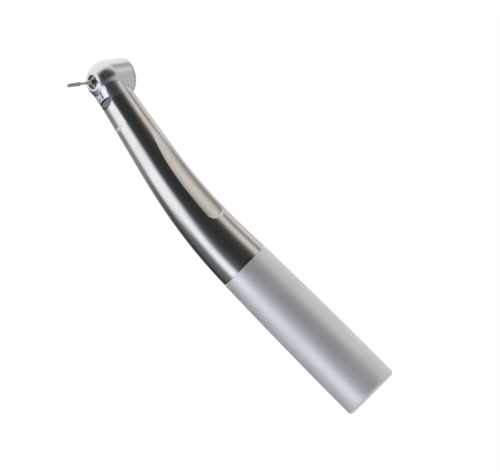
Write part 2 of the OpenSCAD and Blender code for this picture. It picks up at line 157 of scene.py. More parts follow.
def lathe(name, profile, where="rear", seg=192, material=None, angle=28, closed=True):
    """A turned piece: profile is [(radius, height), ...] round the rear axis, or round the head's axis."""
    pts, ring = [], []
    for r, z in profile:
        idx = []
        if r < 1e-6:
            idx = [len(pts)]
            pts.append((0, 0, z))
        else:
            for j in range(seg):
                a = 2 * math.pi * j / seg
                idx.append(len(pts))
                pts.append((r * math.cos(a), r * math.sin(a), z))
        ring.append(idx)
    faces = []
    n = len(ring)
    for i in range(n if closed else n - 1):
        p, q = ring[i], ring[(i + 1) % n]
        if len(p) == 1 and len(q) == 1:
            continue
        for j in range(seg):
            k = (j + 1) % seg
            if len(p) == 1:
                faces.append((p[0], q[k], q[j]))
            elif len(q) == 1:
                faces.append((p[j], p[k], q[0]))
            else:
                faces.append((p[j], p[k], q[k], q[j]))
    pts = np.array(pts)
    if where == "head":
        pts = H + pts[:, :1] * BP + pts[:, 1:2] * Y + pts[:, 2:3] * B
        # BP, Y, B: is this frame right-handed?
        if np.dot(np.cross(BP, Y), B) < 0:
            faces = [tuple(reversed(f)) for f in faces]
    o = mesh_object(name, pts, faces, material)
    fix_normals(o)
    sharp(o, angle)
    return o


def fix_normals(o):
    bm = bmesh.new()
    bm.from_mesh(o.data)
    bmesh.ops.recalc_face_normals(bm, faces=bm.faces)
    bm.to_mesh(o.data)
    bm.free()


def arc(x, y, r, a, b, n):
    return [(x + r * math.cos(math.radians(a + (b - a) * i / n)), y + r * math.sin(math.radians(a + (b - a) * i / n))) for i in range(n + 1)]


def cut(o, cutter, delete=True):
    """Take cutter out of o, exactly, and give the cut faces the cutter's material (dark painted shade on the recess
    walls).
    """
    m = o.modifiers.new("cut", "BOOLEAN")
    m.operation = "DIFFERENCE"
    m.solver = "EXACT"
    m.object = cutter
    m.material_mode = "TRANSFER"
    apply_modifiers(o)
    if delete:
        bpy.data.objects.remove(cutter)


def apply_modifiers(o):
    dg = bpy.context.evaluated_depsgraph_get()
    dg.update()
    me = bpy.data.meshes.new_from_object(o.evaluated_get(dg), preserve_all_data_layers=True, depsgraph=dg)
    o.modifiers.clear()
    old = o.data
    name = old.name
    o.data = me
    bpy.data.meshes.remove(old)
    me.name = name


def prism(name, outline, frame_axes, levels, material=None):
    """A closed prism. outline(level) gives points [(u, v)], at heights levels, in frame (origin, u axis, v axis, w axis)."""
    o0, U, V, Wd = frame_axes
    rings = [np.array(outline(i)) for i in range(len(levels))]
    n = len(rings[0])
    pts = []
    for i, lv in enumerate(levels):
        for u, v in rings[i]:
            pts.append(o0 + U * u + V * v + Wd * lv)
    faces = []
    for i in range(len(levels) - 1):
        for j in range(n):
            k = (j + 1) % n
            faces.append((i * n + j, i * n + k, (i + 1) * n + k, (i + 1) * n + j))
    faces.append(tuple(range(n))[::-1])
    faces.append(tuple((len(levels) - 1) * n + j for j in range(n)))
    ob = mesh_object(name, pts, faces, material, smooth=False)
    fix_normals(ob)
    return ob


def rod(name, p0, p1, r, material=None, seg=64):
    p0, p1 = np.asarray(p0, float), np.asarray(p1, float)
    d = p1 - p0
    L = np.linalg.norm(d)
    d = d / L
    u = np.cross(d, [0.3, 1, 0.2])
    u /= np.linalg.norm(u)
    v = np.cross(d, u)
    ring = [(r * math.cos(2 * math.pi * j / seg), r * math.sin(2 * math.pi * j / seg)) for j in range(seg)]
    return prism(name, lambda i: ring, (p0, u, v, d), [0, L], material)


# ------------------------------------------------------------------ materials
def new_mat(name):
    m = bpy.data.materials.new(name)
    m.use_nodes = True
    nt = m.node_tree
    nt.nodes.clear()
    out = nt.nodes.new("ShaderNodeOutputMaterial")
    bsdf = nt.nodes.new("ShaderNodeBsdfPrincipled")
    nt.links.new(bsdf.outputs[0], out.inputs[0])
    return m, nt, bsdf


def node(nt, kind, **props):
    n = nt.nodes.new(kind)
    for k, v in props.items():
        if k.startswith("i_"):
            n.inputs[k[2:].replace("_", " ")].default_value = v
        else:
            setattr(n, k, v)
    return n


def metal(name, colour, rough, tint=None, grain=0.0, grain_scale=(1, 1, 1), scale=4000.0, bump=0.0, metallic=1.0, rough_var=0.08):
    """Bare or plated metal with fine grain, uneven gloss, soft smudges and small marks."""
    m, nt, b = new_mat(name)
    L = nt.links.new
    tc = node(nt, "ShaderNodeTexCoord")
    mp = node(nt, "ShaderNodeMapping")
    mp.inputs["Scale"].default_value = grain_scale
    L(tc.outputs["Object"], mp.inputs["Vector"])
    fine = node(nt, "ShaderNodeTexNoise")
    fine.inputs["Scale"].default_value = scale
    fine.inputs["Detail"].default_value = 3
    L(mp.outputs[0], fine.inputs["Vector"])
    broad = node(nt, "ShaderNodeTexNoise")
    broad.inputs["Scale"].default_value = 90.0
    broad.inputs["Detail"].default_value = 5
    broad.inputs["Roughness"].default_value = 0.6
    L(tc.outputs["Object"], broad.inputs["Vector"])
    # colour
    mix = node(nt, "ShaderNodeMix", data_type="RGBA")
    mix.inputs["A"].default_value = (*colour, 1)
    mix.inputs["B"].default_value = (*(tint or [c * 0.93 for c in colour]), 1)
    ramp = node(nt, "ShaderNodeMapRange")
    ramp.inputs["From Min"].default_value = 0.35
    ramp.inputs["From Max"].default_value = 0.7
    L(broad.outputs["Fac"], ramp.inputs["Value"])
    L(ramp.outputs[0], mix.inputs["Factor"])
    L(mix.outputs["Result"], b.inputs["Base Color"])
    b.inputs["Metallic"].default_value = metallic
    # gloss
    r = node(nt, "ShaderNodeMapRange")
    r.inputs["From Min"].default_value = 0.3
    r.inputs["From Max"].default_value = 0.75
    r.inputs["To Min"].default_value = max(0.02, rough - rough_var * rough)
    r.inputs["To Max"].default_value = rough + rough_var * rough
    L(broad.outputs["Fac"], r.inputs["Value"])
    add = node(nt, "ShaderNodeMath", operation="MULTIPLY_ADD")
    L(fine.outputs["Fac"], add.inputs[0])
    add.inputs[1].default_value = grain
    L(r.outputs[0], add.inputs[2])
    L(add.outputs[0], b.inputs["Roughness"])
    if bump:
        bp = node(nt, "ShaderNodeBump")
        bp.inputs["Strength"].default_value = bump
        bp.inputs["Distance"].default_value = 0.00001
        L(fine.outputs["Fac"], bp.inputs["Height"])
        L(bp.outputs[0], b.inputs["Normal"])
    return m


def plain(name, colour, rough, metallic=0.0, bump=0.05, scale=2500.0, alpha=None, transmission=0.0):
    m, nt, b = new_mat(name)
    L = nt.links.new
    tc = node(nt, "ShaderNodeTexCoord")
    nz = node(nt, "ShaderNodeTexNoise")
    nz.inputs["Scale"].default_value = scale
    nz.inputs["Detail"].default_value = 4
    L(tc.outputs["Object"], nz.inputs["Vector"])
    mix = node(nt, "ShaderNodeMix", data_type="RGBA")
    mix.inputs["A"].default_value = (*[c * 0.88 for c in colour], 1)
    mix.inputs["B"].default_value = (*colour, 1)
    L(nz.outputs["Fac"], mix.inputs["Factor"])
    L(mix.outputs["Result"], b.inputs["Base Color"])
    b.inputs["Metallic"].default_value = metallic
    r = node(nt, "ShaderNodeMapRange")
    r.inputs["To Min"].default_value = rough * 0.85
    r.inputs["To Max"].default_value = min(1.0, rough * 1.15)
    L(nz.outputs["Fac"], r.inputs["Value"])
    L(r.outputs[0], b.inputs["Roughness"])
    bp = node(nt, "ShaderNodeBump")
    bp.inputs["Strength"].default_value = bump
    bp.inputs["Distance"].default_value = 0.00002
    L(nz.outputs["Fac"], bp.inputs["Height"])
    L(bp.outputs[0], b.inputs["Normal"])
    b.inputs["Transmission Weight"].default_value = transmission
    return m


M_NECK = metal("neck_polished_dark", (0.61, 0.585, 0.548), 0.13, tint=(0.57, 0.545, 0.51), grain=0.03, grain_scale=(1, 1, 0.08), scale=2600, bump=0.03, rough_var=0.25)
M_HEAD = metal("head_satin_chrome", (0.655, 0.67, 0.68), 0.22, tint=(0.63, 0.645, 0.66), grain=0.05, scale=9000, bump=0.10, rough_var=0.2)
M_SLEEVE = metal("sleeve_satin", (0.83, 0.832, 0.84), 0.50, tint=(0.805, 0.81, 0.82), grain=0.10, scale=11000, bump=0.30, rough_var=0.12)
M_STEEL = metal("turned_steel", (0.70, 0.71, 0.72), 0.24, grain=0.12, grain_scale=(1, 1, 14), scale=1500, bump=0.12)
M_BEARING = metal("ground_steel", (0.78, 0.785, 0.79), 0.12, grain=0.05, scale=4000, bump=0.05)
M_SPRING = metal("spring_wire", (0.52, 0.52, 0.52), 0.28, grain=0.1, scale=3000, bump=0.1)
M_BRASS = metal("brass", (0.80, 0.62, 0.30), 0.26, grain=0.1, scale=2500, bump=0.1)
M_WHEEL = metal("machined_wheel", (0.74, 0.73, 0.70), 0.22, grain=0.1, scale=3000, bump=0.1)
M_BUR = metal("bur_shank_steel", (0.47, 0.44, 0.39), 0.22, grain=0.1, grain_scale=(1, 1, 6), scale=3000, bump=0.15)
# painted shade: the walls of the window pocket, the spray holes and the slot get this dark colour in place of the shade
# in those recesses
M_CUT_SHADE = metal("cut_face_painted_shade", (0.21, 0.225, 0.245), 0.32, grain=0.1, scale=4000, bump=0.1)
# painted shade: the bore's wall is near-black in place of the shade inside the hole round the bur
M_BORE_SHADE = metal("bore_wall_painted_shade", (0.16, 0.16, 0.17), 0.35, grain=0.1, scale=4000, bump=0.1)
# brownish steel, its tint the steel's own, darkened as painted shade for the spindle, collet and end ring deep in the
# bore
M_NOSE_SHADE = metal("brownish_steel_painted_shade", (0.36, 0.33, 0.285), 0.30, grain=0.1, scale=4000, bump=0.1)
M_RUBBER = plain("black_rubber", (0.02, 0.02, 0.021), 0.6, scale=4000)
M_CLIP = plain("black_plastic", (0.03, 0.03, 0.032), 0.45)
M_CAGE = plain("cage_resin", (0.30, 0.18, 0.08), 0.5)
M_CERAMIC = plain("ceramic_ball", (0.05, 0.05, 0.055), 0.08, bump=0.0)
M_ROD = plain("light_rod_glass", (0.86, 0.90, 0.94), 0.12, transmission=0.6, bump=0.02)


def grit_material():
    m, nt, b = new_mat("diamond_grit")
    L = nt.links.new
    tc = node(nt, "ShaderNodeTexCoord")
    vo = node(nt, "ShaderNodeTexVoronoi")
    vo.inputs["Scale"].default_value = 9000
    L(tc.outputs["Object"], vo.inputs["Vector"])
    nz = node(nt, "ShaderNodeTexNoise")
    nz.inputs["Scale"].default_value = 7000
    nz.inputs["Detail"].default_value = 6
    L(tc.outputs["Object"], nz.inputs["Vector"])
    mix = node(nt, "ShaderNodeMix", data_type="RGBA")
    mix.inputs["A"].default_value = (0.30, 0.285, 0.25, 1)
    mix.inputs["B"].default_value = (0.74, 0.72, 0.66, 1)
    L(nz.outputs["Fac"], mix.inputs["Factor"])
    L(mix.outputs["Result"], b.inputs["Base Color"])
    b.inputs["Metallic"].default_value = 0.6
    b.inputs["Roughness"].default_value = 0.5
    bp = node(nt, "ShaderNodeBump")
    bp.inputs["Strength"].default_value = 0.9
    bp.inputs["Distance"].default_value = 0.00008
    L(vo.outputs["Distance"], bp.inputs["Height"])
    L(bp.outputs[0], b.inputs["Normal"])
    return m


def window_material():
    m, nt, b = new_mat("smoky_window")
    L = nt.links.new
    tc = node(nt, "ShaderNodeTexCoord")
    nz = node(nt, "ShaderNodeTexNoise")
    nz.inputs["Scale"].default_value = 900
    nz.inputs["Detail"].default_value = 3
    L(tc.outputs["Object"], nz.inputs["Vector"])
    mix = node(nt, "ShaderNodeMix", data_type="RGBA")
    mix.inputs["A"].default_value = (0.16, 0.19, 0.235, 1)
    mix.inputs["B"].default_value = (0.26, 0.295, 0.35, 1)
    L(nz.outputs["Fac"], mix.inputs["Factor"])
    L(mix.outputs["Result"], b.inputs["Base Color"])
    b.inputs["Roughness"].default_value = 0.16
    b.inputs["Coat Weight"].default_value = 0.5
    b.inputs["Coat Roughness"].default_value = 0.05
    return m


M_GRIT = grit_material()
M_WINDOW = window_material()


# ------------------------------------------------------------------ the neck sleeve
def neck_radius(s, a):
    """Outer radius of the neck's section at path s and angle a (arrays), and whether a grip flat or the underside sets it."""
    r0 = ell(s, a)
    d = side(s)
    # depth of the grip, by path distance
    g = np.interp(s, [66, 80, 86, 90, 94, 98, 101], [0.43, 0.40, 0.35, 0.28, 0.15, 0.03, 0.0])
    # its cross-section is an arc of large radius about a point on the far side
    R = 15.0
    y0 = d - g
    ca, sa = np.cos(a), np.abs(np.sin(a))
    c = y0 - R
    # |p - (0, c)| = R for p = r (ca, sa)
    disc = (c * sa) ** 2 - (c * c - R * R)
    r1 = c * sa + np.sqrt(np.maximum(disc, 0))
    r1 = np.where(sa > 0.15, r1, 99.0)
    # rounded rear end: the grip's end curves in, so the depth fades as s falls
    off = np.abs(np.abs(np.degrees(a) % 360 - 180) - 90)  # degrees away from +-Y
    s_end = 66.3 + 0.055 * np.clip(off - 2, 0, 40) + 3.4 * np.clip((off - 17.0) / 14.0, 0, 1.3) ** 2.2
    ramp = np.clip((s - s_end) / 0.30, 0, 1)
    ramp = ramp * ramp * (3 - 2 * ramp)
    r1 = r0 + (r1 - r0) * ramp
    flat = r1 < r0 - 1e-6
    r = np.where(flat, r1, r0)
    # a slimmer underside in front of path 104.3
    w = wide(s)
    R2 = 6.6
    x0 = w - 0.17
    c2 = x0 - R2
    cx, sx = np.cos(a), np.sin(a)
    disc2 = (c2 * cx) ** 2 - (c2 * c2 - R2 * R2)
    r2 = c2 * cx + np.sqrt(np.maximum(disc2, 0))
    r2 = np.where(cx > 0.2, r2, 99.0)
    k = np.clip((s - 103.8) / 1.1, 0, 1)
    k = k * k * (3 - 2 * k)
    r2 = np.where(r2 < r, r + (r2 - r) * k, r)
    return np.minimum(r, r2), flat


def edge_s(a, r):
    """Front edge of the sleeve: parallel to the head's axis."""
    return REACH - (EDGE + 0.05 - math.sin(SLANT) * r * np.cos(a)) / math.cos(SLANT)


def neck_mesh(nA=360, ds=0.3):
    s0, last = 51.6, 104.0
    st = np.concatenate([np.arange(s0, 64.5, 1.0), np.arange(64.5, 72.5, 0.11), np.arange(72.5, last - 0.05, 0.45), [last]])
    front = np.linspace(0, 1, 60)[1:]
    A = np.linspace(0, 2 * math.pi, nA, endpoint=False)
    rows = []
    for s in st:
        rows.append((np.full(nA, s), A))
    for f in front:
        e = edge_s(A, 4.9)
        rows.append((last + (e - last) * f, A))
    S = np.array([r[0] for r in rows])
    AA = np.array([r[1] for r in rows])
    R, _ = neck_radius(S, AA)
    # the last rows meet the slanted edge exactly
    for i, f in enumerate(front):
        k = len(st) + i
        S[k] = last + (edge_s(AA[k], R[k]) - last) * f
    P = spot(S, R * np.cos(AA), R * np.sin(AA))
    m = len(rows)
    # inner skin
    thick = 0.55
    Ri = np.minimum(ell(S, AA), R) - thick
    Pi = spot(S, Ri * np.cos(AA), Ri * np.sin(AA))
    verts = np.concatenate([P.reshape(-1, 3), Pi.reshape(-1, 3)])
    h = m * nA
    faces = []
    for i in range(m - 1):
        j = np.arange(nA)
        k = (j + 1) % nA
        faces += list(zip(i * nA + j, i * nA + k, (i + 1) * nA + k, (i + 1) * nA + j))
        faces += list(zip(h + i * nA + j, h + (i + 1) * nA + j, h + (i + 1) * nA + k, h + i * nA + k))
    j = np.arange(nA)
    k = (j + 1) % nA
    faces += list(zip(j, h + j, h + k, k))
    q = (m - 1) * nA
    faces += list(zip(q + j, q + k, h + q + k, h + q + j))
    o = mesh_object("neck_sleeve_skin", verts, faces, M_NECK)
    fix_normals(o)
    return o


# the window's pocket, in the neck frame at the head: u along -N from the head axis, v sideways, height along XN
def lens_outline(front_c, front_r, rear_c, rear_r, n=40):
    """A lens between a rear arc (centre rear_c, radius rear_r) and a front arc, as points (u, v)."""
    # crossing of the two circles
    d = front_c - rear_c
    u = (rear_r ** 2 - front_r ** 2 + front_c ** 2 - rear_c ** 2) / (2 * d)
    v = math.sqrt(max(rear_r ** 2 - (u - rear_c) ** 2, 1e-6))
    a = math.atan2(v, u - rear_c)
    b = math.atan2(v, -(u - front_c))
    pts = [(rear_c + rear_r * math.cos(a - 2 * a * i / n), rear_r * math.sin(a - 2 * a * i / n)) for i in range(n + 1)]
    pts += [(front_c - front_r * math.cos(-b + 2 * b * i / n), front_r * math.sin(-b + 2 * b * i / n)) for i in range(1, n)]
    return pts


NECK_FRAME = (H, -N, Y, XN)


def pocket_cutter(material):
    floor, lo, top = 3.70, 3.0, 6.4
    levels = [lo, floor, top]

    def outline(i):
        if i < 2:
            return lens_outline(14.95, 9.7, 3.55, 4.1)
        k = (top - floor) / (5.3 - floor)
        return lens_outline(14.95, 9.7 + 0.05 * k, 3.55, 4.1 + 0.35 * k)

    return prism("pocket_cutter", outline, NECK_FRAME, levels, material)


# ------------------------------------------------------------------ the head
def dome(h):
    u = max(0.0, (h + 0.5) / (FACE + 0.5))
    return 2.6 + (HR - 2.6) * max(0.0, 1 - u ** 1.6) ** (1 / 1.6)


def head_profile():
    """Closed outline of the drum and dome as (radius, height)."""
    p = [(0, -6.55), (HR - 0.06, -6.55), (HR, -6.47)]
    for i in range(0, 61):
        h = -0.5 + (FACE + 0.5) * math.sin(math.radians(1.5 * i))
        p.append((float(dome(h)), h))
    r = p[-1][0]
    # a narrow rounded nose rim
    p = p[:-1]
    p += arc(r - 0.02, FACE - 0.14, 0.14, 20, 90, 5)
    p.append((0, FACE))
    return np.array(p)


PROFILE = head_profile()


def sd_profile(r, z):
    """Signed distance to the drum's outline in the (radius, height) half plane."""
    shape = r.shape
    q = np.stack([r.ravel(), z.ravel()], -1)
    best = np.full(len(q), 1e9)
    inside = np.zeros(len(q), bool)
    P = PROFILE
    n = len(P)
    for i in range(n - 1):
        a, b = P[i], P[i + 1]
        e = b - a
        w = q - a
        t = np.clip((w @ e) / (e @ e), 0, 1)
        d = w - t[:, None] * e
        best = np.minimum(best, (d ** 2).sum(1))
        c1 = q[:, 1] >= a[1]
        c2 = q[:, 1] < b[1]
        c3 = e[0] * w[:, 1] > e[1] * w[:, 0]
        flip = (c1 & c2 & c3) | (~c1 & ~c2 & ~c3)
        inside ^= flip
    # the outline is closed by the axis, where the crossing test needs the last edge too
    a, b = P[-1], P[0]
    e = b - a
    w = q - a
    c1 = q[:, 1] >= a[1]
    c2 = q[:, 1] < b[1]
    c3 = e[0] * w[:, 1] > e[1] * w[:, 0]
    inside ^= (c1 & c2 & c3) | (~c1 & ~c2 & ~c3)
    d = np.sqrt(best)
    return np.where(inside, -d, d).reshape(shape)


COLLAR_A = float(wide(REACH - 6))
COLLAR_B = float(side(REACH - 6))


def sd_head(p):
    """Distance-like function of the head's outside at points p (n, 3) in mm."""
    q = p - H
    z = q @ B
    xb = q @ BP
    y = q[:, 1]
    r = np.sqrt(xb ** 2 + y ** 2)
    drum = sd_profile(r, z)
    t = -(q @ N)
    xn = q @ XN
    k0 = np.sqrt((xn / COLLAR_A) ** 2 + (y / COLLAR_B) ** 2)
    k1 = np.sqrt((xn / COLLAR_A ** 2) ** 2 + (y / COLLAR_B ** 2) ** 2)
    tube = k0 * (k0 - 1.0) / np.maximum(k1, 1e-6)
    # slimmer underside, as on the neck
    R2 = 6.6
    c2 = COLLAR_A - 0.17 - R2
    under = np.sqrt((xn - c2) ** 2 + y ** 2) - R2
    tube = np.where(xn > 0, np.maximum(tube, under), tube)
    # the collar's front shoulder below the nose
    shoulder = z - 3.75
    tube = -smin(-tube, -shoulder, 0.7)
    tube = -smin(-tube, -(-t - 0.0), 0.2)
    both = smin(drum, tube, 0.30)
    cutp = xb - EDGE
    return np.maximum(both, cutp)


def surface_net(f, low, high, step):
    """Quads on the zero level of f, sampled on a grid."""
    ax = [np.arange(low[i], high[i] + step, step) for i in range(3)]
    X, Yg, Z = np.meshgrid(*ax, indexing="ij")
    F = f(np.stack([X.ravel(), Yg.ravel(), Z.ravel()], -1)).reshape(X.shape)
    n = np.array(F.shape)
    inside = F < 0
    # cells with a sign change
    c = inside[:-1, :-1, :-1].astype(np.int8)
    tot = np.zeros(c.shape, np.int8)
    acc = np.zeros(c.shape + (3,))
    cnt = np.zeros(c.shape)
    for dx in (0, 1):
        for dy in (0, 1):
            for dz in (0, 1):
                tot += inside[dx:n[0] - 1 + dx, dy:n[1] - 1 + dy, dz:n[2] - 1 + dz]
    live = (tot > 0) & (tot < 8)
    corners = [(dx, dy, dz) for dx in (0, 1) for dy in (0, 1) for dz in (0, 1)]
    for i, a in enumerate(corners):
        for b in corners[i + 1:]:
            if sum(abs(x - y) for x, y in zip(a, b)) != 1:
                continue
            fa = F[a[0]:n[0] - 1 + a[0], a[1]:n[1] - 1 + a[1], a[2]:n[2] - 1 + a[2]]
            fb = F[b[0]:n[0] - 1 + b[0], b[1]:n[1] - 1 + b[1], b[2]:n[2] - 1 + b[2]]
            cross = (fa < 0) != (fb < 0)
            t = np.where(cross, fa / np.where(cross, fa - fb, 1), 0)
            for k in range(3):
                acc[..., k] += np.where(cross, a[k] + (b[k] - a[k]) * t, 0)
            cnt += cross
    idx = -np.ones(c.shape, int)
    where = np.argwhere(live)
    idx[live] = np.arange(len(where))
    pts = (where + acc[live] / cnt[live][:, None]) * step + np.array(low)
    faces = []
    for axis in range(3):
        o1, o2 = [(1, 2), (2, 0), (0, 1)][axis]
        sl0 = [slice(1, -1)] * 3
        sl1 = [slice(1, -1)] * 3
        sl0[axis] = slice(0, n[axis] - 1)
        sl1[axis] = slice(1, n[axis])
        a = inside[tuple(sl0)]
        b = inside[tuple(sl1)]
        for sign in (0, 1):
            hit = np.argwhere((a & ~b) if sign == 0 else (~a & b))
            if not len(hit):
                continue
            base = hit.copy()
            for k in range(3):
                if k != axis:
                    base[:, k] += 1
            q = []
            for da, db in ((0, 0), (1, 0), (1, 1), (0, 1)):
                cc = base.copy()
                cc[:, o1] -= da
                cc[:, o2] -= db
                q.append(idx[cc[:, 0], cc[:, 1], cc[:, 2]])
            q = np.stack(q, -1)
            if sign:
                q = q[:, ::-1]
            faces.append(q)
    return pts, np.concatenate(faces)


def gradient(f, p, e=0.004):
    g = np.zeros_like(p)
    for k in range(3):
        d = np.zeros(3)
        d[k] = e
        g[:, k] = (f(p + d) - f(p - d)) / (2 * e)
    return g


def head_mesh():
    low = H + np.array([-10.4, -6.0, -9.6])
    high = H + np.array([8.2, 6.0, 8.8])
    pts, faces = surface_net(sd_head, low, high, 0.125)
    for _ in range(4):
        g = gradient(sd_head, pts)
        L2 = np.maximum((g ** 2).sum(1), 1e-3)
        pts = pts - g * (sd_head(pts) / L2)[:, None] * 0.9
    o = mesh_object("head_housing_skin", pts, faces, M_HEAD)
    fix_normals(o)
    return o


def keep_normals(o, f=None, tree=None, ref=None, limit=0.02, material=0):
    """Give the outside faces exact normals, from the function or from the uncut mesh, and leave the cut faces alone."""
    me = o.data
    me.polygons.foreach_set("use_smooth", [True] * len(me.polygons))
    me.set_sharp_from_angle(angle=math.radians(32))
    n = len(me.loops)
    cn = np.zeros(n * 3, np.float32)
    me.corner_normals.foreach_get("vector", cn)
    cn = cn.reshape(-1, 3)
    lv = np.zeros(n, int)
    me.loops.foreach_get("vertex_index", lv)
    co = np.zeros(len(me.vertices) * 3)
    me.vertices.foreach_get("co", co)
    co = co.reshape(-1, 3) / MM
    pm = np.zeros(len(me.polygons), int)
    me.polygons.foreach_get("material_index", pm)
    tot = np.zeros(len(me.polygons), int)
    me.polygons.foreach_get("loop_total", tot)
    fn = np.zeros(len(me.polygons) * 3)
    me.polygons.foreach_get("normal", fn)
    fn = np.repeat(fn.reshape(-1, 3), tot, axis=0)
    out = np.repeat(pm == material, tot)
    if f is not None:
        g = gradient(f, co)
        g /= np.maximum(np.linalg.norm(g, axis=1), 1e-9)[:, None]
        vn = g[lv]
    else:
        vn = np.zeros((n, 3))
        cache = {}
        for i in np.unique(lv[out]):
            _, j, d = tree.find(Vector(co[i]))
            cache[i] = ref[j]
        for i in range(n):
            if out[i]:
                vn[i] = cache[lv[i]]
    agree = (vn * fn).sum(1) > math.cos(math.radians(24))
    use = out & agree
    cn[use] = vn[use]
    me.normals_split_custom_set([tuple(v) for v in cn])
    me.update()


# build the neck, cut the window's pocket, restore its exact shading
neck = neck_mesh()
neck.data.update()
nv = len(neck.data.vertices) // 2
ref_n = np.zeros(len(neck.data.vertices) * 3, np.float32)
neck.data.vertices.foreach_get("normal", ref_n)
ref_n = ref_n.reshape(-1, 3)[:nv]
ref_p = np.zeros(len(neck.data.vertices) * 3, np.float32)
neck.data.vertices.foreach_get("co", ref_p)
ref_p = ref_p.reshape(-1, 3)[:nv] / MM
tree = KDTree(nv)
for i in range(nv):
    tree.insert(Vector(ref_p[i]), i)
tree.balance()
# the pocket's walls take the dark painted-shade colour
cut(neck, pocket_cutter(M_CUT_SHADE))
keep_normals(neck, tree=tree, ref=ref_n)
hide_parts("neck_sleeve")
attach(neck, "handpiece")

# build the head
head_o = head_mesh()
# the pocket, spray holes and slot are cut with walls in the dark painted-shade colour, and the bore with the near-black
# painted-shade wall
cut(head_o, pocket_cutter(M_CUT_SHADE))
cut(head_o, lathe("bore_cutter", [(0, -7.2), (4.15, -7.2), (4.15, 1.2), (3.3, 1.2), (3.3, 3.8), (2.03, 3.8), (2.03, FACE - 0.09), (2.12, FACE + 0.0), (2.6, FACE + 0.5), (0, FACE + 0.5)], "head", 96, M_BORE_SHADE, closed=False))
for deg in (60, 180, 300):
    a = math.radians(deg)
    p = head(2.72 * math.cos(a), 2.72 * math.sin(a), FACE + 0.6)
    q = head(2.95 * math.cos(a), 2.95 * math.sin(a), FACE - 0.6)
    cut(head_o, rod("spray_cutter", p, q, 0.17, M_CUT_SHADE, 24))
# the slot on the bur side
slot_pts = [(x, y) for x, y in arc(4.72, 0.45, 0.28, -90, 90, 8)] + [(x, y) for x, y in arc(3.3, 0.45, 0.25, 90, 270, 8)]
cut(head_o, prism("slot_cutter", lambda i: slot_pts, NECK_FRAME, [4.2, 6.5], M_CUT_SHADE))
keep_normals(head_o, f=sd_head)
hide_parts("head_housing")
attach(head_o, "handpiece")

# the window's glass, a little proud of the pocket's floor
glass = prism("light_window_glass", lambda i: lens_outline(14.95, 9.67 - 0.05 * (i == 2), 3.55, 4.07 - 0.05 * (i == 2)), NECK_FRAME, [3.1, 3.72, 3.78], M_WINDOW)
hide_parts("light_window")
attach(glass, "handpiece")

# rear sleeve
rs = lathe("rear_sleeve_skin", [(6.95, 0.06), (7.01, 0)] + arc(7.65, 1.0, 1.0, -90, 0, 14)
            + [(8.0 + 0.65 * (1 - (i / 40) ** 2.2), 1.0 + 50.5 * i / 40) for i in range(1, 40)] + [(8.0, 51.4), (7.9, 51.5), (7.3, 51.5), (7.3, 2.1), (6.95, 2.1)], "rear", 256, M_SLEEVE)
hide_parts("rear_sleeve")
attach(rs, "handpiece")

# cap and button at the back of the head
cap = lathe("head_cap_skin", [(3.3, -2.3), (4.13, -2.3), (4.13, -6.57), (HR - 0.09, -6.57), (HR - 0.03, -6.63)] + arc(HR - 0.53, -BACK + 0.5, 0.5, 0, -90, 10)
            + [(3.63, -BACK), (3.55, -BACK + 0.08), (3.55, -5.62), (0.85, -5.62), (0.85, -5.17), (3.3, -5.17)], "head", 192, M_HEAD)
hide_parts("head_cap")
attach(cap, "handpiece")
btn_prof = [(0, -5.12), (0.65, -5.12), (0.65, -6.45), (3.45, -6.45), (3.45, -6.74), (3.1, -6.74), (3.1, -7.06), (3.04, -7.13)]
btn_prof += [(3.04 * math.cos(math.radians(6 * i)), -7.13 - 0.31 * math.sin(math.radians(6 * i))) for i in range(1, 15)] + [(0, -7.44)]
btn = lathe("push_button_skin", btn_prof, "head", 160, M_HEAD, closed=False)
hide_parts("push_button")
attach(btn, "button")

# diamond part of the bur, with real grains standing out of it
tip = FACE + 8.92
gp = [(0, tip - 4.48), (0.45, tip - 4.48), (0.56, tip - 4.38), (0.585, tip - 4.25)]
gp += [(0.585 - 0.11 * t, tip - 4.25 + 3.75 * t) for t in (0.2, 0.4, 0.6, 0.8, 1.0)]
gp += [(0.475 * math.cos(math.radians(a)), tip - 0.5 + 0.47 * math.sin(math.radians(a))) for a in range(10, 90, 10)] + [(0, tip - 0.03)]
core = lathe("bur_diamond_core", gp, "head", 64, M_GRIT, closed=False)
grain_v, grain_f = [], []
prof = np.array(gp)
for _ in range(1500):
    z = tip - 4.4 + 4.35 * rng.random()
    r = np.interp(z, prof[1:, 1], prof[1:, 0])
    if z > tip - 0.5 and rng.random() > r / 0.5:
        continue
    a = 2 * math.pi * rng.random()
    size = 0.022 + 0.022 * rng.random()
    c = head(r * math.cos(a), r * math.sin(a), z)
    rot = np.linalg.qr(rng.normal(size=(3, 3)))[0]
    octa = np.array([[1, 0, 0], [-1, 0, 0], [0, 1, 0], [0, -1, 0], [0, 0, 1], [0, 0, -1]]) * size * (0.8 + 0.4 * rng.random((6, 1)))
    base = len(grain_v)
    grain_v += list(c + octa @ rot.T)
    for f in ((0, 2, 4), (2, 1, 4), (1, 3, 4), (3, 0, 4), (2, 0, 5), (1, 2, 5), (3, 1, 5), (0, 3, 5)):
        grain_f.append([base + i for i in f])
grains = mesh_object("bur_diamond_grains", grain_v, grain_f, M_GRIT, smooth=False)
fix_normals(grains)
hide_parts("bur_diamond")
for o in (core, grains):
    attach(o, "bur")
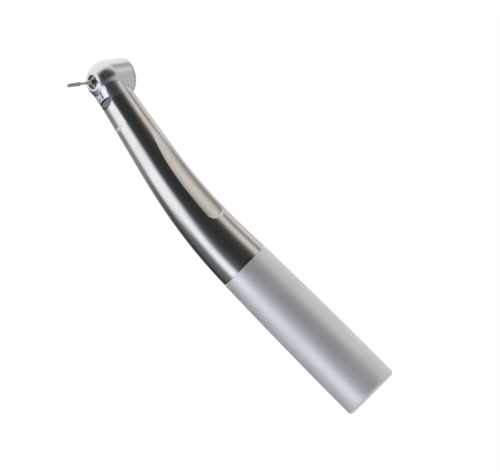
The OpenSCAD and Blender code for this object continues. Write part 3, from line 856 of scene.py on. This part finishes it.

# ------------------------------------------------------------------ finishes on the CAD nodes that stay in view
# the spindle, chuck collet and spindle end ring get brownish steel darkened as painted shade
FINISH = {
    "coupling_socket": M_STEEL, "socket_lock_ring": M_SPRING, "socket_gasket": M_RUBBER, "retaining_nut": M_BRASS, "sleeve_adapter": M_STEEL,
    "adapter_oring": M_RUBBER, "front_tube_clip": M_CLIP, "mid_tube_clip": M_CLIP, "drive_air_tube": M_STEEL, "exhaust_tube": M_STEEL,
    "water_tube": M_STEEL, "chip_air_tube": M_STEEL, "light_guide": M_ROD, "light_guide_ferrule": M_STEEL, "check_valve_body": M_STEEL,
    "check_valve_ball": M_BEARING, "check_valve_spring": M_SPRING, "cap_oring": M_RUBBER, "front_bearing_outer_race": M_BEARING,
    "rear_bearing_outer_race": M_BEARING, "front_bearing_oring": M_RUBBER, "rear_bearing_oring": M_RUBBER, "front_bearing_shield": M_CLIP,
    "rear_bearing_shield": M_STEEL, "preload_washer": M_SPRING, "button_retaining_ring": M_SPRING, "button_spring": M_SPRING,
    "spindle": M_NOSE_SHADE, "turbine_wheel": M_WHEEL, "front_bearing_inner_race": M_BEARING, "rear_bearing_inner_race": M_BEARING,
    "chuck_collet": M_NOSE_SHADE, "spindle_end_ring": M_NOSE_SHADE, "front_bearing_cage": M_CAGE, "front_bearing_balls": M_CERAMIC,
    "rear_bearing_cage": M_CAGE, "rear_bearing_balls": M_CERAMIC, "chuck_plunger": M_BEARING, "bur_shank": M_BUR,
}


def coil(name, axis):
    """A spring: a copy of the CAD spring's mesh in the spring finish, in place of the CAD node and fixed to the
    handpiece.
    """
    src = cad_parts[name]
    co = np.zeros(len(src.data.vertices) * 3)
    src.data.vertices.foreach_get("co", co)
    co = co.reshape(-1, 3) / MM
    o = mesh_object(name + "_coil", co, [list(f.vertices) for f in src.data.polygons], M_SPRING)
    sharp(o, 35)
    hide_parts(name)
    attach(o, "handpiece")
    axis = np.asarray(axis, float)
    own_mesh(o)
    return o


coil("button_spring", B)
coil("check_valve_spring", (0, 0, 1))

for n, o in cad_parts.items():
    if o.hide_render:
        continue
    o.data.materials.clear()
    o.data.materials.append(FINISH[n])
    if not o.data.has_custom_normals:
        o.data.polygons.foreach_set("use_smooth", [True] * len(o.data.polygons))
        o.data.set_sharp_from_angle(angle=math.radians(30))

# ------------------------------------------------------------------ camera
PHI = math.radians(43.0)
P = np.array([math.cos(PHI), -math.sin(PHI), 0.0])
WV = np.array([math.sin(PHI), math.cos(PHI), 0.0])
ZV = np.array([0.0, 0.0, 1.0])
ROLL = math.radians(45.15)
U = -math.sin(ROLL) * P - math.cos(ROLL) * ZV
V = np.cross(WV, U)
K = 3.5                        # picture units per millimetre, in a picture 500 units wide
HEAD_AT = (104.45, 80.0)       # where the head's axis crosses the neck's, in those units
centre = H - (H @ WV) * WV + (250 - HEAD_AT[0]) / K * U + (HEAD_AT[1] - 236) / K * V
dist = 4000.0
cam_data = bpy.data.cameras.new("camera")
cam_data.sensor_width = 36.0
cam_data.lens = 36.0 * dist / (500 / K)
cam_data.clip_start = 0.01
cam_data.clip_end = 20
cam = bpy.data.objects.new("camera", cam_data)
bpy.context.scene.collection.objects.link(cam)
loc = (centre + WV * dist) * MM
cam.matrix_world = Matrix(((U[0], V[0], WV[0], loc[0]), (U[1], V[1], WV[1], loc[1]), (U[2], V[2], WV[2], loc[2]), (0, 0, 0, 1)))
bpy.context.scene.camera = cam

# ------------------------------------------------------------------ floor: a pale table the handpiece lies above, seen square-on
floor_m, nt, b = new_mat("pale_floor")
L = nt.links.new
nt.nodes.remove(b)
out = [n for n in nt.nodes if n.type == "OUTPUT_MATERIAL"][0]
em = node(nt, "ShaderNodeEmission")
em.inputs["Color"].default_value = (1, 1, 1, 1)
em.inputs["Strength"].default_value = 1.0
tr = node(nt, "ShaderNodeBsdfTransparent")
mixs = node(nt, "ShaderNodeMixShader")
geo = node(nt, "ShaderNodeNewGeometry")
L(geo.outputs["Backfacing"], mixs.inputs[0])
L(em.outputs[0], mixs.inputs[1])
L(tr.outputs[0], mixs.inputs[2])
L(mixs.outputs[0], out.inputs[0])
fc = centre - WV * 45
half = 420.0
floor = mesh_object("floor", [fc - U * half - V * half, fc + U * half - V * half, fc + U * half + V * half, fc - U * half + V * half], [(0, 1, 2, 3)], floor_m, smooth=False)
# the camera sees the floor, but the metal mirrors the studio instead of it
floor.visible_glossy = False
floor.visible_diffuse = False
floor.visible_transmission = False
floor.visible_shadow = False
floor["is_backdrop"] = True

# ------------------------------------------------------------------ studio: soft boxes all round the long axis, as a world
world = bpy.data.worlds.new("studio")
bpy.context.scene.world = world
world.use_nodes = True
nt = world.node_tree
nt.nodes.clear()
L = nt.links.new
out = node(nt, "ShaderNodeOutputWorld")
tc = node(nt, "ShaderNodeTexCoord")


def dot(vec):
    n = node(nt, "ShaderNodeVectorMath", operation="DOT_PRODUCT")
    L(tc.outputs["Generated"], n.inputs[0])
    n.inputs[1].default_value = tuple(vec)
    return n.outputs["Value"]


at = node(nt, "ShaderNodeMath", operation="ARCTAN2")
L(dot(WV), at.inputs[0])
L(dot(P), at.inputs[1])
turn = node(nt, "ShaderNodeMath", operation="MULTIPLY_ADD")
L(at.outputs[0], turn.inputs[0])
turn.inputs[1].default_value = 1 / (2 * math.pi)
turn.inputs[2].default_value = 0.25  # position 0 is straight behind (-90 degrees)
fr = node(nt, "ShaderNodeMath", operation="FRACT")
L(turn.outputs[0], fr.inputs[0])
# (degrees from the lower left towards the camera, red green blue strength of the soft box there)
STOPS = [
    (-90, (0.160, 0.169, 0.174)), (-66, (0.126, 0.133, 0.136)), (-48, (0.033, 0.035, 0.035)), (-36, (0.092, 0.097, 0.103)), (-24, (0.155, 0.164, 0.179)),
    (-12, (0.175, 0.186, 0.209)), (0, (0.223, 0.247, 0.278)), (9, (0.492, 0.540, 0.603)), (17, (0.945, 1.030, 1.144)), (25, (1.407, 1.530, 1.706)),
    (33, (1.333, 1.460, 1.633)), (41, (1.151, 1.265, 1.430)), (49, (0.595, 0.660, 0.770)), (57, (0.187, 0.217, 0.260)), (65, (0.129, 0.149, 0.178)),
    (74, (0.070, 0.081, 0.096)), (86, (0.053, 0.056, 0.064)), (105, (0.041, 0.045, 0.049)), (125, (0.052, 0.052, 0.050)), (136, (0.077, 0.072, 0.067)),
    (144, (0.126, 0.116, 0.106)), (151, (0.287, 0.261, 0.250)), (158, (0.630, 0.600, 0.567)), (165, (0.905, 0.870, 0.858)), (173, (0.994, 0.975, 0.946)),
    (182, (0.831, 0.795, 0.790)), (191, (0.372, 0.368, 0.348)), (200, (0.462, 0.440, 0.445)), (212, (0.984, 0.985, 1.004)), (232, (0.817, 0.815, 0.858)),
    (252, (0.723, 0.717, 0.759)),
]
cr = node(nt, "ShaderNodeValToRGB")
cr.color_ramp.interpolation = "LINEAR"
els = cr.color_ramp.elements
while len(els) > 1:
    els.remove(els[-1])
SCALE = 2.0
first = True
for deg, col in STOPS:
    pos = (deg + 90) / 360
    e = els[0] if first else els.new(pos)
    first = False
    e.position = pos
    e.color = tuple(c / SCALE for c in col) + (1,)
e = els.new(1.0)
e.color = tuple(c / SCALE for c in STOPS[0][1]) + (1,)
L(fr.outputs[0], cr.inputs[0])
# light thrown up from below
high = dot(ZV)
lowb = node(nt, "ShaderNodeMapRange", interpolation_type="SMOOTHSTEP")
lowb.inputs["From Min"].default_value = -0.03
lowb.inputs["From Max"].default_value = -0.34
L(high, lowb.inputs["Value"])
lowm = node(nt, "ShaderNodeMix", data_type="RGBA")
L(lowb.outputs[0], lowm.inputs["Factor"])
L(cr.outputs[0], lowm.inputs["A"])
lowm.inputs["B"].default_value = (0.64 / SCALE, 0.64 / SCALE, 0.64 / SCALE, 1)
# a soft box at the lower left, higher up, that widens the streak on the bent part
near = node(nt, "ShaderNodeMapRange", interpolation_type="SMOOTHSTEP")
near.inputs["From Min"].default_value = 0.16
near.inputs["From Max"].default_value = 0.40
L(high, near.inputs["Value"])
LB = math.cos(math.radians(24)) * (math.cos(math.radians(22)) * P + math.sin(math.radians(22)) * WV) + math.sin(math.radians(24)) * ZV
blob = node(nt, "ShaderNodeMapRange", interpolation_type="SMOOTHSTEP")
blob.inputs["From Min"].default_value = math.cos(math.radians(44))
blob.inputs["From Max"].default_value = math.cos(math.radians(9))
L(dot(LB), blob.inputs["Value"])
both = node(nt, "ShaderNodeMath", operation="MULTIPLY")
L(near.outputs[0], both.inputs[0])
L(blob.outputs[0], both.inputs[1])
boxm = node(nt, "ShaderNodeMix", data_type="RGBA")
L(both.outputs[0], boxm.inputs["Factor"])
L(lowm.outputs["Result"], boxm.inputs["A"])
boxm.inputs["B"].default_value = (1.36 / SCALE, 1.44 / SCALE, 1.56 / SCALE, 1)
# a large soft box above the head and behind it
G = math.cos(math.radians(25)) * ZV - math.sin(math.radians(25)) * WV
capw = node(nt, "ShaderNodeMapRange", interpolation_type="SMOOTHSTEP")
capw.name = "cap"
capw.inputs["From Min"].default_value = 0.40
capw.inputs["From Max"].default_value = 0.72
L(dot(G), capw.inputs["Value"])
capm = node(nt, "ShaderNodeMix", data_type="RGBA")
capm.name = "cap_mix"
L(capw.outputs[0], capm.inputs["Factor"])
L(boxm.outputs["Result"], capm.inputs["A"])
capm.inputs["B"].default_value = (1.16 / SCALE, 1.16 / SCALE, 1.16 / SCALE, 1)
bg = node(nt, "ShaderNodeBackground")
L(capm.outputs["Result"], bg.inputs[0])
bg.inputs[1].default_value = SCALE
white = node(nt, "ShaderNodeBackground")
white.inputs[0].default_value = (1, 1, 1, 1)
white.inputs[1].default_value = 1.0
lp = node(nt, "ShaderNodeLightPath")
mx = node(nt, "ShaderNodeMixShader")
L(lp.outputs["Is Camera Ray"], mx.inputs[0])
L(bg.outputs[0], mx.inputs[1])
L(white.outputs[0], mx.inputs[2])
L(mx.outputs[0], out.inputs[0])

scene = bpy.context.scene
scene.view_settings.view_transform = "Standard"
scene.view_settings.look = "None"
scene.view_settings.exposure = 0
scene.view_settings.gamma = 1

low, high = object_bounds()
